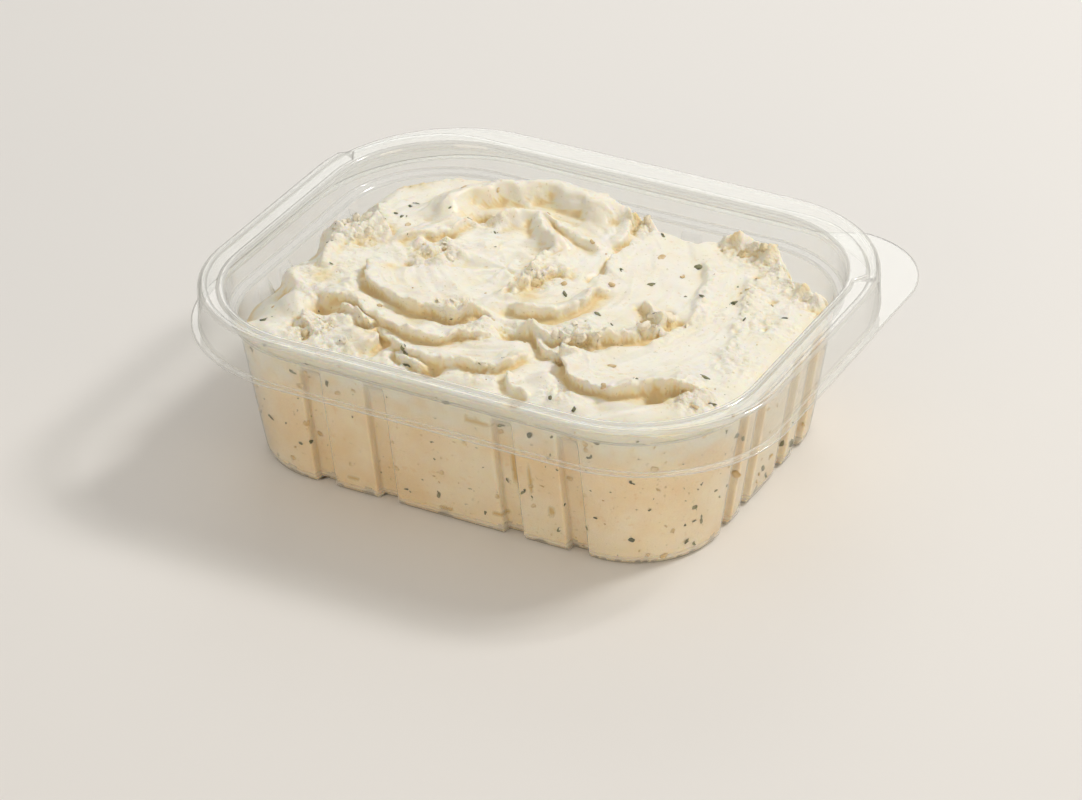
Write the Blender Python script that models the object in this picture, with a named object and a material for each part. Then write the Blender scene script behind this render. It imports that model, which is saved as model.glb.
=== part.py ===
"""Garlic and herb cream cheese in its clear deli tub.

Two solids: the thermoformed tub, one wall all the way round its fluted body,
lid seat, rim, drop skirt, flange and corner tab, and the cheese that fills it,
whose top is worked out from named swirls and whose herb flakes, garlic bits
and crumbs are fused on. Metres, +Z up, origin at the middle of the underside.
Lengths below are in millimetres and turned to metres when a mesh is made.
"""
import math
import random

import bmesh
import bpy
import numpy as np
from mathutils import Matrix, Vector, noise
from mathutils.geometry import delaunay_2d_cdt

MM = 0.001

# Plan of the tub: every ring is this rectangle's outline grown by a radius
CORE_X = 45.3
CORE_Y = 27.0

# Wall of the tub, radii on its outer face
SKIN = 0.7
FLOOR_RADIUS = 14.0
FLOOR_EDGE = 0.9
BASE_RADIUS = 25.8
BASE_EDGE = 1.6
BASE_BEVEL = 0.45
WALL_TOP_RADIUS = 32.2
SEAT_RADIUS = 34.6
RIM_THROAT_RADIUS = 35.2
SEAT_Z = 43.0
SEAT_RISE = 0.9
RIM_Z = 52.0

# Rim, skirt and flange
SHELF_DROP = 1.2
BEAD_EDGE = 0.6
OUTLINE_SIDE = 43.0
OUTLINE_FRONT = 40.5
OUTLINE_BACK = 48.0
BEAD_BACK = 38.6
BEAD_CORNER = 41.0
BAR_MARGIN = 2.6
BAR_END_ANGLE = 18.0
RIM_ROUND = 0.9
THROAT_ROUND = 0.5
FOLD = 0.2
SKIRT_FOOT_Z = 40.2
SKIRT_FLARE = 0.3
SKIRT_ROUND = 0.45
FLANGE_WIDTH = 2.5

# Corner tab, a rounded square that the flange grows into
TAB_X = 90.8
TAB_Y = 83.2
TAB_CORNER = 27.0
TAB_FADE_START = math.radians(70.0)
TAB_FADE_END = math.radians(84.0)

# Flutes pressed into the wall
LONG_FLUTES = (-40.2, -20.0, 20.0, 40.2)
SHORT_FLUTES = (-23.2, -11.2, 11.2, 23.2)
FLUTE_WIDTH = 6.2
FLUTE_SLOPE = 0.9
LONG_FLUTE_DEPTH = 2.5
SHORT_FLUTE_DEPTH = 2.2
FLUTE_LEVELS = ((1.6, 1.0), (34.5, 1.0), (38.2, 0.86), (40.6, 0.0))

# Cheese
GAP = 0.3
CREAM_LEVEL = 49.2
GRID = 2.75
ROW_SHARE = 0.87
WALL_CLEAR = 1.5
EDGE_STEP = 0.35
HOLLOW_FLOOR = 34.5
TOP_LIMIT = 49.6
UNDERSIDE_EDGE = 1.0
SEED = 795

CLEAR = (0.93, 0.95, 0.94, 1.0)
CREAM = (0.87, 0.80, 0.63, 1.0)

# Corner segments between the straight sides, the tab's corner last
CORNER_STEPS = (16, 10, 10, 10)

# Lips of the spread swirls: points in plan, height, gentle width, steep width,
# trough depth. The steep side is on the right hand along the points.
SWIRLS = {
    "back_crest": ([(-45, 20), (-42, 31), (-34, 39), (-24, 44), (-13, 46), (-3, 44), (4, 38), (8, 29)],
                   5.0, 11.0, 4.5, 1.2),
    "inner_crest": ([(-31, 21), (-25, 29), (-17, 32), (-10, 29), (-3, 25), (7, 24)],
                    3.6, 8.0, 3.6, 1.0),
    "bowl_lip": ([(-46, -9), (-43, -18), (-34, -25), (-23, -28), (-12, -27), (-4, -22)],
                 4.2, 10.0, 2.0, 1.4),
    "second_lip": ([(-57, -30), (-48, -29), (-40, -33), (-30, -37), (-19, -40), (-10, -38), (0, -29)],
                   3.4, 8.0, 1.8, 1.3),
    "front_lip": ([(-40, -40), (-29, -42), (-19, -46), (-9, -48), (1, -50), (9, -48), (17, -44)],
                  2.6, 6.0, 1.8, 1.0),
    "torn_ridge": ([(2, -27), (9, -25), (16, -27), (24, -25), (31, -21), (37, -13)],
                   3.6, 6.0, 1.8, 1.3),
    "curl": ([(-1, -15), (6, -16), (11, -12), (15, -6), (17, 2)],
             2.8, 6.0, 2.2, 1.4),
    "front_flap": ([(24, -27), (29, -35), (33, -41), (41, -42), (49, -41), (56, -37), (62, -32), (69, -30)],
                   4.4, 12.0, 2.0, 0.9),
    "right_fold": ([(48, 10), (46, -2), (45, -14), (44, -24)],
                   1.3, 14.0, 2.6, 0.3),
    "left_lump": ([(-66, 22), (-58, 14), (-57, 2), (-62, -8), (-58, -20)],
                  2.2, 5.0, 5.0, 0.4),
}

# Edge of the spread cheese above the hollow along the back wall, points in plan
HOLLOW_EDGE = [(-84, 30), (-73, 29), (-66, 32), (-60, 37), (-53, 43), (-43, 47), (-30, 51), (-16, 53),
               (-7, 51), (2, 46), (12, 44), (22, 42), (31, 42), (38, 47), (45, 49), (52, 47), (56, 42),
               (60, 35), (67, 31), (76, 28), (84, 26)]

# Soft mound in the middle: rise, place, half lengths
MOUND = (1.2, (-18, 12), (45, 38))

# Fall of the cheese towards the walls: depth and the width of the slope
LEFT_FALL = (13.5, 19.0)
FRONT_FALL = (1.4, 9.0)
RIGHT_FALL = (2.0, 10.0)

# Slope down into the hollow, and how far its edge and its floor wander
HOLLOW_SLOPE = (-0.5, 4.5)
HOLLOW_WANDER = (1.2, 5.0)
HOLLOW_ROUGH = (0.8, 6.0)

# Unevenness of the top: height and size of the bumps
ROUGHNESS = ((0.45, 9.0, 3.1), (0.25, 4.0, 7.7))

# Pits and knobs: place, radius and height, down where it is negative
DIMPLES = ((-27, 19, 3.6, -3.2), (-36, 13, 2.6, -2.0), (-51, -36, 4.2, -3.4), (-64, -33, 2.6, -2.2),
           (-61, 12, 3.2, -3.0), (-4, -54, 3.0, -2.4), (-24, -53, 3.4, -1.6), (46, -50, 3.4, -1.6),
           (36, -5, 2.6, -1.6), (-38, 3, 4.0, 2.2), (-31, 5, 3.0, 1.6), (-68, 45, 5.5, 5.0),
           (-58, 52, 5.0, 5.5), (12, 43, 3.2, 1.8), (40, 43, 4.0, 2.0), (52, 42, 4.0, 1.8),
           (-66, 0, 4.0, 2.4), (-3, -31, 3.4, 1.6), (-31, -48, 4.0, 1.8), (27, -45, 3.0, 1.0))

# Toppings: how many and their half lengths, how far apart, and how far from the wall
TOPPINGS = (("herb", 26, (1.7, 0.8, 0.45)), ("garlic", 12, (1.3, 1.1, 0.7)), ("crumb", 16, (2.2, 1.7, 1.5)))
TOPPING_SPACING = 4.5
TOPPING_WALL_CLEAR = 7.0
TOPPING_FIELD = ((-66, 68), (-52, 38))
CRUMB_SIDEWAYS = 2.0
CRUMB_INSIDE = (1.5, 4.0)
TOPPING_DENT = 0.22
TOPPING_LIFT = 0.25


def smooth(low, high, value):
    """Smooth step from 0 at low to 1 at high."""
    t = np.clip((value - low) / (high - low), 0.0, 1.0)
    return t * t * (3.0 - 2.0 * t)


def outline_radius(angle):
    """Radius of the rim's outer edge in the direction of the wall's normal."""
    ends = OUTLINE_BACK if math.sin(angle) > 0 else OUTLINE_FRONT
    return OUTLINE_SIDE * math.cos(angle) ** 2 + ends * math.sin(angle) ** 2


def rise_angle(angle):
    """How far a direction is turned towards the back, in degrees."""
    return math.degrees(math.asin(max(0.0, math.sin(angle))))


def bead_radius(angle):
    """Outer radius of the raised bead, which draws in along the back."""
    along_back = float(smooth(60.0, 90.0, rise_angle(angle)))
    bead = BEAD_CORNER + (BEAD_BACK - BEAD_CORNER) * along_back
    return min(bead, outline_radius(angle) - BAR_MARGIN)


def tab_radius(angle):
    """Distance along a direction from the back right corner's centre to the tab's rounded square."""
    reach_x, reach_y = TAB_X - CORE_X, TAB_Y - CORE_Y
    c, s = math.cos(angle), math.sin(angle)
    straight = min(reach_x / max(c, 1e-6), reach_y / max(s, 1e-6))
    mx, my = reach_x - TAB_CORNER, reach_y - TAB_CORNER
    if straight * c > mx and straight * s > my:
        along = mx * c + my * s
        return along + math.sqrt(max(0.0, along * along - mx * mx - my * my + TAB_CORNER ** 2))
    return straight


def flange_radius(angle):
    """Outer radius of the flange at the skirt's foot, with the tab at the back right corner."""
    plain = outline_radius(angle) + SKIRT_FLARE + FLANGE_WIDTH
    if not 0.0 < angle < TAB_FADE_END:
        return plain
    fade = 1.0 - float(smooth(TAB_FADE_START, TAB_FADE_END, angle))
    return max(plain, plain + (tab_radius(angle) - plain) * fade)


def side_marks(flutes, half):
    """Places along a straight side, and how far the flute is pressed in at each."""
    marks = []
    for middle in flutes:
        inner, outer = FLUTE_WIDTH / 2 - FLUTE_SLOPE / 2, FLUTE_WIDTH / 2 + FLUTE_SLOPE / 2
        marks += [(middle - outer, 0.0), (middle - inner, 1.0), (middle + inner, 1.0), (middle + outer, 0.0)]
    marks.append((0.0, 0.0))
    return sorted(m for m in marks if abs(m[0]) < half)


def stations():
    """Stations round the tub: a point of the core, the normal's angle and the flute's depth."""
    rows = []
    sides = ((0, CORE_X, CORE_Y, SHORT_FLUTES, SHORT_FLUTE_DEPTH),
             (90, -CORE_X, CORE_Y, LONG_FLUTES, LONG_FLUTE_DEPTH),
             (180, -CORE_X, -CORE_Y, SHORT_FLUTES, SHORT_FLUTE_DEPTH),
             (270, CORE_X, -CORE_Y, LONG_FLUTES, LONG_FLUTE_DEPTH))
    for index, (degrees, end_x, end_y, flutes, depth) in enumerate(sides):
        angle = math.radians(degrees)
        half = CORE_Y if degrees % 180 == 0 else CORE_X
        for along, press in side_marks(flutes, half):
            if degrees % 180 == 0:
                x, y = end_x, along * math.copysign(1, math.cos(angle))
            else:
                x, y = -along * math.copysign(1, math.sin(angle)), end_y
            rows.append((x, y, angle, press * depth))
        corner_x = math.copysign(CORE_X, (1, -1, -1, 1)[index])
        corner_y = math.copysign(CORE_Y, (1, 1, -1, -1)[index])
        for step in range(CORNER_STEPS[index] + 1):
            turn = math.radians(90.0 * step / CORNER_STEPS[index])
            rows.append((corner_x, corner_y, angle + turn, 0.0))
    return rows


def flute_share(z):
    """How much of the flute's depth is left at a height."""
    heights, shares = zip(*FLUTE_LEVELS)
    return float(np.interp(z, heights, shares))


def outer_radius(z):
    """Radius of the wall's outer face at a height."""
    heights = (BASE_EDGE, SEAT_Z, SEAT_Z + SEAT_RISE, RIM_Z)
    radii = (BASE_RADIUS, WALL_TOP_RADIUS, SEAT_RADIUS, RIM_THROAT_RADIUS)
    return float(np.interp(z, heights, radii))


def inner_radius(z):
    """Radius of the wall's inner face at a height. The seat's inner face lies a skin above its outer one."""
    heights = (BASE_EDGE, SEAT_Z + SKIN, SEAT_Z + SEAT_RISE + SKIN, RIM_Z)
    radii = (BASE_RADIUS, WALL_TOP_RADIUS, SEAT_RADIUS, RIM_THROAT_RADIUS)
    return float(np.interp(z, heights, radii)) - SKIN


def ring_point(station, radius, z, press=0.0):
    """A point of a ring, in metres."""
    x, y, angle, _ = station
    r = radius - press
    return Vector(((x + r * math.cos(angle)) * MM, (y + r * math.sin(angle)) * MM, z * MM))


def tub_section(station):
    """The tub's cross-section at a station: from the floor's edge inside, over the rim, to the underside."""
    angle, depth = station[2], station[3]
    outline, flange, bead = outline_radius(angle), flange_radius(angle), bead_radius(angle)
    shelf_z = RIM_Z if rise_angle(angle) < BAR_END_ANGLE else RIM_Z - SHELF_DROP
    wall = [(z, flute_share(z) * depth) for z, _ in FLUTE_LEVELS]
    throat, skirt = RIM_THROAT_RADIUS - SKIN, outline + SKIRT_FLARE
    inside = [(FLOOR_RADIUS, SKIN, 0.0), (BASE_RADIUS - SKIN - FLOOR_EDGE, SKIN, depth)]
    inside += [(inner_radius(z), z, press) for z, press in wall]
    inside += [(inner_radius(z), z, 0.0) for z in (SEAT_Z + SKIN, SEAT_Z + SEAT_RISE + SKIN)]
    inside += [(throat, RIM_Z - THROAT_ROUND, 0.0), (throat + THROAT_ROUND, RIM_Z, 0.0)]
    over = [(bead - BEAD_EDGE, RIM_Z, 0.0), (bead, shelf_z, 0.0),
            (outline - RIM_ROUND, shelf_z, 0.0), (outline, shelf_z - RIM_ROUND, 0.0),
            (skirt, SKIRT_FOOT_Z + SKIRT_ROUND, 0.0), (skirt + SKIRT_ROUND, SKIRT_FOOT_Z, 0.0),
            (flange, SKIRT_FOOT_Z, 0.0), (flange, SKIRT_FOOT_Z - SKIN, 0.0)]
    under = [(skirt - SKIN + FOLD, SKIRT_FOOT_Z - SKIN, 0.0),
             (outline - SKIN, shelf_z - RIM_ROUND - FOLD, 0.0),
             (outline - RIM_ROUND - FOLD, shelf_z - SKIN, 0.0),
             (bead - FOLD, shelf_z - SKIN, 0.0),
             (bead - BEAD_EDGE - FOLD, RIM_Z - SKIN, 0.0),
             (RIM_THROAT_RADIUS + FOLD, RIM_Z - SKIN, 0.0),
             (RIM_THROAT_RADIUS, RIM_Z - SKIN - THROAT_ROUND, 0.0),
             (SEAT_RADIUS, SEAT_Z + SEAT_RISE, 0.0),
             (outer_radius(SEAT_Z), SEAT_Z, 0.0)]
    under += [(outer_radius(z), z, press) for z, press in reversed(wall)]
    under += [(BASE_RADIUS - BASE_BEVEL, BASE_BEVEL, depth), (BASE_RADIUS - BASE_EDGE, 0.0, depth),
              (FLOOR_RADIUS, 0.0, 0.0)]
    return [ring_point(station, r, z, press) for r, z, press in inside + over + under]


def skinned(mesh, sections):
    """Columns of vertices from a ring of equal sections, joined side to side by faces."""
    grid = [[mesh.verts.new(p) for p in section] for section in sections]
    for here, after in zip(grid, grid[1:] + grid[:1]):
        for j in range(len(here) - 1):
            mesh.faces.new((here[j], here[j + 1], after[j + 1], after[j]))
    return grid


def fan(mesh, ring):
    """Closes a level ring round the middle with triangles to its centre."""
    middle = mesh.verts.new((0.0, 0.0, ring[0].co.z))
    for here, after in zip(ring, ring[1:] + ring[:1]):
        mesh.faces.new((here, after, middle))


def lofted(sections):
    """A closed mesh from a ring of equal sections, with its first and last rings closed."""
    mesh = bmesh.new()
    grid = skinned(mesh, sections)
    fan(mesh, [column[0] for column in grid])
    fan(mesh, [column[-1] for column in grid])
    bmesh.ops.triangulate(mesh, faces=mesh.faces[:])
    bmesh.ops.recalc_face_normals(mesh, faces=mesh.faces[:])
    return mesh


def finish_object(name, mesh, colour, roughness, transmission=0.0):
    """Turns a bmesh into a named object with its own material."""
    data = bpy.data.meshes.new(name)
    mesh.to_mesh(data)
    mesh.free()
    piece = bpy.data.objects.new(name, data)
    bpy.context.collection.objects.link(piece)
    material = bpy.data.materials.new(name)
    material.use_nodes = True
    shader = material.node_tree.nodes["Principled BSDF"]
    shader.inputs["Base Color"].default_value = colour
    shader.inputs["Roughness"].default_value = roughness
    shader.inputs["Metallic"].default_value = 0.0
    shader.inputs["Transmission Weight"].default_value = transmission
    data.materials.append(material)
    return piece


def tub():
    """The clear tub, one wall thickness throughout."""
    return finish_object("tub", lofted([tub_section(s) for s in stations()]), CLEAR, 0.08, 0.9)


def curve_through(points, pieces=8):
    """Catmull-Rom curve through points in plan."""
    pts = np.array([points[0]] + list(points) + [points[-1]], float)
    out = []
    for a, b, c, d in zip(pts, pts[1:], pts[2:], pts[3:]):
        for k in range(pieces):
            t = k / pieces
            out.append(0.5 * (2 * b + (c - a) * t + (2 * a - 5 * b + 4 * c - d) * t * t
                              + (3 * b - a - 3 * c + d) * t ** 3))
    out.append(pts[-1])
    return np.array(out)


def beside(path, xy):
    """Signed distance to a path, positive on its right hand, and the share of its length there."""
    a, b = path[:-1], path[1:]
    run = b - a
    length = np.linalg.norm(run, axis=1)
    start = np.concatenate([[0.0], np.cumsum(length)[:-1]])
    best = np.full(len(xy), 1e9)
    signed = np.zeros(len(xy))
    share = np.zeros(len(xy))
    for k in range(len(a)):
        off = xy - a[k]
        t = np.clip(off @ run[k] / length[k] ** 2, 0.0, 1.0)
        apart = off - t[:, None] * run[k]
        distance = np.hypot(apart[:, 0], apart[:, 1])
        closer = distance < best
        side = np.where(off[:, 0] * run[k][1] - off[:, 1] * run[k][0] >= 0, 1.0, -1.0)
        best = np.where(closer, distance, best)
        signed = np.where(closer, side * distance, signed)
        share = np.where(closer, (start[k] + t * length[k]) / length.sum(), share)
    return signed, share


def swirl(xy, points, height, gentle, steep, trough):
    """A lip that rises gently from the left, drops steeply on the right and leaves a trough at its foot."""
    signed, share = beside(curve_through(points), xy)
    ends = smooth(0.0, 0.18, share) * smooth(1.0, 0.85, share)
    lip = np.where(signed < 0, 1.0 - smooth(0.0, gentle, -signed), 1.0 - smooth(0.0, steep, signed))
    foot = np.exp(-((signed - steep * 1.5) / (steep * 1.3)) ** 2) * (signed > 0)
    return ends * (height * lip - trough * foot)


def wobble(xy, size, seed):
    """Soft unevenness between about -1 and 1, of the given size in millimetres."""
    return np.array([noise.noise(Vector((x / size, y / size, seed))) for x, y in xy])


def inset_from_wall(xy):
    """How far a place in plan is inside the tub's upper wall."""
    over = np.maximum(np.abs(xy) - (CORE_X, CORE_Y), 0.0)
    return SEAT_RADIUS - SKIN - np.hypot(over[:, 0], over[:, 1])


def cream_height(xy):
    """Height of the cheese's top at places in plan: level, fall to the walls, swirls, hollow and dimples."""
    x, y = xy[:, 0], xy[:, 1]
    inset = inset_from_wall(xy)
    rise, (mound_x, mound_y), (half_x, half_y) = MOUND
    level = CREAM_LEVEL + rise * np.exp(-((x - mound_x) / half_x) ** 2 - ((y - mound_y) / half_y) ** 2)
    left = smooth(-42, -70, x) * smooth(-56, -38, y)
    front = smooth(-38, -54, y)
    right = smooth(58, 70, x)
    for share, (depth, slope) in ((left, LEFT_FALL), (front, FRONT_FALL), (right, RIGHT_FALL)):
        level = level - depth * share * (1.0 - smooth(0.0, slope, inset))
    for shape in SWIRLS.values():
        level = level + swirl(xy, *shape)
    for px, py, radius, rise in DIMPLES:
        level = level + rise * np.exp(-((x - px) ** 2 + (y - py) ** 2) / radius ** 2)
    for height, size, seed in ROUGHNESS:
        level = level + height * wobble(xy, size, seed)
    edge, _ = beside(curve_through(HOLLOW_EDGE), xy)
    wander = HOLLOW_WANDER[0] * wobble(xy, HOLLOW_WANDER[1], 5.3)
    floor = HOLLOW_FLOOR + HOLLOW_ROUGH[0] * wobble(xy, HOLLOW_ROUGH[1], 1.9)
    beyond = smooth(*HOLLOW_SLOPE, wander - edge) * (y > CORE_Y / 2)
    level = level + (floor - level) * beyond
    return np.maximum(level, HOLLOW_FLOOR - HOLLOW_ROUGH[0])


def cream_side(station, top, lowest):
    """The cheese's side at a station, from its underside to its top edge.

    Beside a top edge that is below the lid seat, it stays clear of the seat's corner.
    """
    depth = station[3]
    widest = RIM_THROAT_RADIUS if lowest > SEAT_Z + SEAT_RISE + SKIN + GAP else inner_radius(SEAT_Z)
    levels = [z for z, _ in FLUTE_LEVELS] + [SEAT_Z + SKIN, SEAT_Z + SEAT_RISE + SKIN]
    heights = [min(z + GAP, top - EDGE_STEP * (len(levels) - i)) for i, z in enumerate(levels)] + [top]
    rows = [(FLOOR_RADIUS, SKIN + GAP, 0.0), (BASE_RADIUS - SKIN - GAP - UNDERSIDE_EDGE, SKIN + GAP, depth)]
    rows += [(min(inner_radius(z - GAP), widest) - GAP, z, flute_share(z - GAP) * depth) for z in heights]
    return [ring_point(station, r, z, press) for r, z, press in rows]


def staggered_places(rim):
    """Places in staggered rows over the top, clear of its edge."""
    places = []
    for row, y in enumerate(np.arange(-CORE_Y - SEAT_RADIUS, CORE_Y + SEAT_RADIUS, GRID * ROW_SHARE)):
        for x in np.arange(-CORE_X - SEAT_RADIUS + (row % 2) * GRID / 2, CORE_X + SEAT_RADIUS, GRID):
            places.append((x, y))
    places = np.array(places)
    edge = np.array([(r.x, r.y) for r in rim])
    nearest = np.min(np.hypot(*(places[:, None, :] - edge[None]).transpose(2, 0, 1)), axis=1)
    return places[(inset_from_wall(places) > 2 * WALL_CLEAR) & (nearest > WALL_CLEAR)]


def cream_body():
    """The cheese before its toppings: fluted sides, flat underside and swirled top."""
    ring = stations()
    edge = np.array([(s[0] + (SEAT_RADIUS - SKIN - GAP) * math.cos(s[2]),
                      s[1] + (SEAT_RADIUS - SKIN - GAP) * math.sin(s[2])) for s in ring])
    tops = np.minimum(cream_height(edge), TOP_LIMIT)
    lowest = np.minimum(np.minimum(np.roll(tops, 1), np.roll(tops, -1)), tops)
    sides = [cream_side(s, float(top), low) for s, top, low in zip(ring, tops, lowest)]
    mesh = bmesh.new()
    grid = skinned(mesh, sides)
    count = len(grid)
    fan(mesh, [column[0] for column in grid])
    rim = [Vector((column[-1].co.x / MM, column[-1].co.y / MM)) for column in grid]
    inner = staggered_places(rim)
    heights = cream_height(inner)
    plan = rim + [Vector(p) for p in inner]
    flat = delaunay_2d_cdt(plan, [], [list(range(count))], 1, 1e-7)
    top_verts = {}
    for face in flat[2]:
        for i in face:
            source = flat[3][i][0]
            if i not in top_verts and source < count:
                top_verts[i] = grid[source][-1]
            elif i not in top_verts:
                x, y = flat[0][i]
                top_verts[i] = mesh.verts.new((x * MM, y * MM, heights[source - count] * MM))
        mesh.faces.new([top_verts[i] for i in face])
    bmesh.ops.triangulate(mesh, faces=mesh.faces[:])
    bmesh.ops.recalc_face_normals(mesh, faces=mesh.faces[:])
    return mesh


def topping_shapes(draw):
    """Small closed lumps half sunk in the top: flakes, bits and, along the torn edges, crumbs."""
    edges = curve_through(HOLLOW_EDGE[9:-3]), curve_through(SWIRLS["torn_ridge"][0])
    placed = []
    for kind, count, size in TOPPINGS:
        for turn in range(count * 4):
            if kind == "crumb":
                path = edges[turn % 2]
                aside = draw.uniform(-CRUMB_SIDEWAYS, CRUMB_SIDEWAYS), -draw.uniform(*CRUMB_INSIDE)
                place = path[draw.randrange(len(path))] + np.array(aside)
            else:
                place = np.array([draw.uniform(*span) for span in TOPPING_FIELD])
            far = all(math.hypot(*(place - other)) > TOPPING_SPACING for other, _ in placed)
            full = sum(1 for _, other_kind in placed if other_kind == kind) >= count
            if full or not far or inset_from_wall(place[None])[0] < TOPPING_WALL_CLEAR:
                continue
            placed.append((place, kind))
            scale = draw.uniform(0.8, 1.25)
            yield place, [s * scale for s in size], draw.uniform(0, math.pi)


def with_toppings(body):
    """Fuses the toppings to the cheese by one union on a collection."""
    draw = random.Random(SEED)
    group = bpy.data.collections.new("toppings")
    bpy.context.scene.collection.children.link(group)
    for index, (place, size, turn) in enumerate(topping_shapes(draw)):
        z = float(cream_height(place[None])[0])
        mesh = bmesh.new()
        bmesh.ops.create_icosphere(mesh, subdivisions=1, radius=1.0)
        for vert in mesh.verts:
            vert.co *= 1.0 + TOPPING_DENT * noise.noise(vert.co * 2.0 + Vector((index * 3.7, 0, 0)))
        spot = Matrix.Translation(Vector((place[0], place[1], z + size[2] * TOPPING_LIFT)) * MM)
        grow = Matrix.Diagonal(Vector((size[0] * MM, size[1] * MM, size[2] * MM, 1.0)))
        mesh.transform(spot @ Matrix.Rotation(turn, 4, "Z") @ grow)
        data = bpy.data.meshes.new("topping")
        mesh.to_mesh(data)
        mesh.free()
        group.objects.link(bpy.data.objects.new("topping", data))
    union = body.modifiers.new("toppings", "BOOLEAN")
    union.operation = "UNION"
    union.operand_type = "COLLECTION"
    union.collection = group
    union.solver = "EXACT"
    with bpy.context.temp_override(object=body, active_object=body):
        bpy.ops.object.modifier_apply(modifier=union.name)
    for piece in list(group.objects):
        bpy.data.objects.remove(piece, do_unlink=True)
    bpy.data.collections.remove(group)


def cream_cheese():
    """The cheese with its herb flakes, garlic bits and crumbs."""
    body = finish_object("cream_cheese", cream_body(), CREAM, 0.5)
    with_toppings(body)
    return body


for thing in list(bpy.data.objects):
    bpy.data.objects.remove(thing, do_unlink=True)
tub()
cream_cheese()
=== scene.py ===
"""Garlic and herb cream cheese in its clear deli tub, dressed for a picture.

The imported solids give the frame. Here the cheese gets its spread swirls, torn
lips, crumbs and herb flakes at full fineness, and the tub its thin clear sheet
with rounded folds. Lengths are in millimetres until a mesh is made.
"""

import math
from functools import partial
from itertools import product

import bmesh
import bpy
import numpy as np
from mathutils import Matrix, Vector
from mathutils.geometry import delaunay_2d_cdt


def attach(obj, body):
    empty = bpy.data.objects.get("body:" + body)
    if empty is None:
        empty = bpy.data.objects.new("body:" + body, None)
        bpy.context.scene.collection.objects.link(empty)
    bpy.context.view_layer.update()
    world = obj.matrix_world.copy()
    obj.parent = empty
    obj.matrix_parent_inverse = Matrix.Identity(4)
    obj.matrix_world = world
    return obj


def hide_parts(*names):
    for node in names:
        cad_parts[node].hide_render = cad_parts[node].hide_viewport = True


MM = 0.001
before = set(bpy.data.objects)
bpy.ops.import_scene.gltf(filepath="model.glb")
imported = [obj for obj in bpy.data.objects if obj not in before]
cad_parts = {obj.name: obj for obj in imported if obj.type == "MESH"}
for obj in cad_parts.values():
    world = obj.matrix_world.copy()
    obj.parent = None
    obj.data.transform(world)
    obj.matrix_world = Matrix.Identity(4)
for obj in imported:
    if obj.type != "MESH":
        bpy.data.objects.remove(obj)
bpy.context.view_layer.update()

# Camera of the photograph, lengths in metres
IMAGE = (1082, 800)
FOCAL_PIXELS = 4218.13
SENSOR = 36.0
ELEVATION = math.radians(31.157)
AZIMUTH = math.radians(28.585)
ROLL = math.radians(-0.987)
DISTANCE = 1.1959
TARGET = Vector((0.0065, -0.01046, 0.01809))

# Plan of the tub: every ring is this rectangle's outline grown by a radius
CORE_X = 45.3
CORE_Y = 27.0

# Wall of the tub, radii on its outer face
SHEET = 0.45
BASE_RADIUS = 25.8
BASE_EDGE = 1.6
WALL_TOP_RADIUS = 32.2
SEAT_RADIUS = 34.6
THROAT_RADIUS = 35.2
SEAT_Z = 43.0
SEAT_RISE = 0.9
RIM_Z = 52.0

# Rim, skirt, flange and tab
BEAD_WIDTH = 1.9
CHANNEL_DROP = 0.6
SHELF_DROP = 1.2
OUTLINE_SIDE = 43.0
OUTLINE_FRONT = 40.5
OUTLINE_BACK = 48.0
BEAD_BACK = 38.6
BEAD_CORNER = 41.0
BAR_MARGIN = 2.6
BAR_END = (15.0, 20.0)
SKIRT_FOOT_Z = 39.7
SKIRT_FLARE = 0.3
FLANGE_WIDTH = 2.5
FLANGE_EDGE = 0.45
TAB_X = 90.8
TAB_Y = 82.85
TAB_CORNER = 27.0
TAB_FADE = (70.0, 84.0)

# Flutes pressed into the wall
LONG_FLUTES = (-40.2, -20.0, 20.0, 40.2)
SHORT_FLUTES = (-23.2, -11.2, 11.2, 23.2)
FLUTE_HALF = 3.1
FLUTE_SLOPE = 0.8
LONG_FLUTE_DEPTH = 2.5
SHORT_FLUTE_DEPTH = 2.2
FLUTE_FOLD = 0.5
FLUTE_LEVELS = ((1.6, 1.0), (35.0, 1.0), (38.2, 0.88), (40.2, 0.5), (41.6, 0.0))

# Heights of the rings up the wall, closer together where the flutes fade, and the steps round a corner
WALL_RINGS = (8.0, 16.0, 24.0, 31.0, 35.0, 36.8, 38.2, 39.3, 40.2, 41.0, 41.6)
CORNER_STEPS = 36

# Cheese
CREAM_LEVEL = 49.2
HOLLOW_FLOOR = 34.5
TOP_LIMIT = 50.4
CREAM_TOP = 55.3
SOFT_TOP = 1.4
INTO_WALL = 0.15
CREAM_REACH = SEAT_RADIUS - SHEET + INTO_WALL
TOP_GRID = 0.535
ROW_SHARE = 0.87
SIDE_RINGS = 34
STATION_STEP = 1.05

# The middle stands higher: rise, place and half lengths
MOUND = (1.2, (-18.0, 12.0), (45.0, 38.0))

# The cheese sinks towards the wall: how deep, and how far in it starts
LEFT_SINK = (13.5, 19.0)
FRONT_SINK = (1.4, 9.0)
RIGHT_SINK = (2.0, 10.0)

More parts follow.
